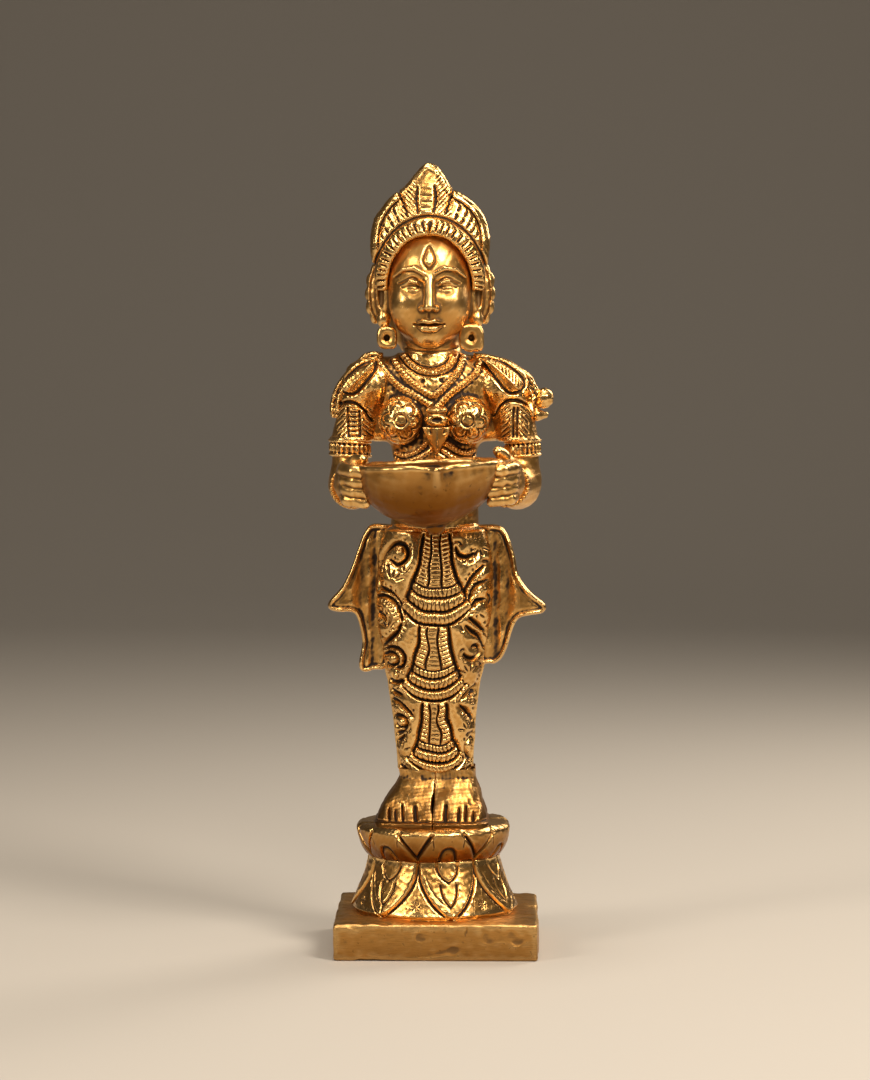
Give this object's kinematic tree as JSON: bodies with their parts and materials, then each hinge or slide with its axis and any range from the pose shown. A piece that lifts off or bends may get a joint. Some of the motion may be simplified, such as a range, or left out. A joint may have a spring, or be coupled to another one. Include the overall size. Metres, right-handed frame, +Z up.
{
  "type": "standing oil lamp",
  "caption": "Standing brass figure in a pleated skirt and tall crown who holds a shallow oil bowl with a pinched wick lip, on a lotus pedestal and a square plinth.",
  "frame": {"origin": "middle of the plinth's resting face", "axes": "+Z up through the crown, -Y the way the figure faces, +X to its left"},
  "size_m": [0.0597, 0.0679, 0.2039],
  "materials": {
    "chased_brass": "cast and chased, dark patina in the recesses",
    "satin_brass": "satin with fine scratches"
  },
  "bodies": {
    "root": {"plinth": "satin_brass", "lotus_bell": "chased_brass", "lotus_cup": "chased_brass", "right_foot": "chased_brass", "left_foot": "chased_brass", "skirt": "chased_brass", "right_sash": "chased_brass", "left_sash": "chased_brass", "torso": "chased_brass", "right_upper_arm": "chased_brass", "left_upper_arm": "chased_brass", "right_elbow_band": "chased_brass", "left_elbow_band": "chased_brass", "right_forearm": "chased_brass", "left_forearm": "chased_brass", "right_wrist_bangle": "chased_brass", "left_wrist_bangle": "chased_brass", "right_hand": "chased_brass", "left_hand": "chased_brass", "oil_bowl": "chased_brass", "head": "chased_brass", "crown": "chased_brass", "hair_bun": "chased_brass", "right_earring": "chased_brass", "left_earring": "chased_brass", "right_shoulder_leaf": "chased_brass", "left_shoulder_leaf": "chased_brass", "right_shawl_end": "chased_brass", "left_shawl_end": "chased_brass", "shoulder_bud": "chased_brass", "pendant": "chased_brass"}
  },
  "joints": []
}
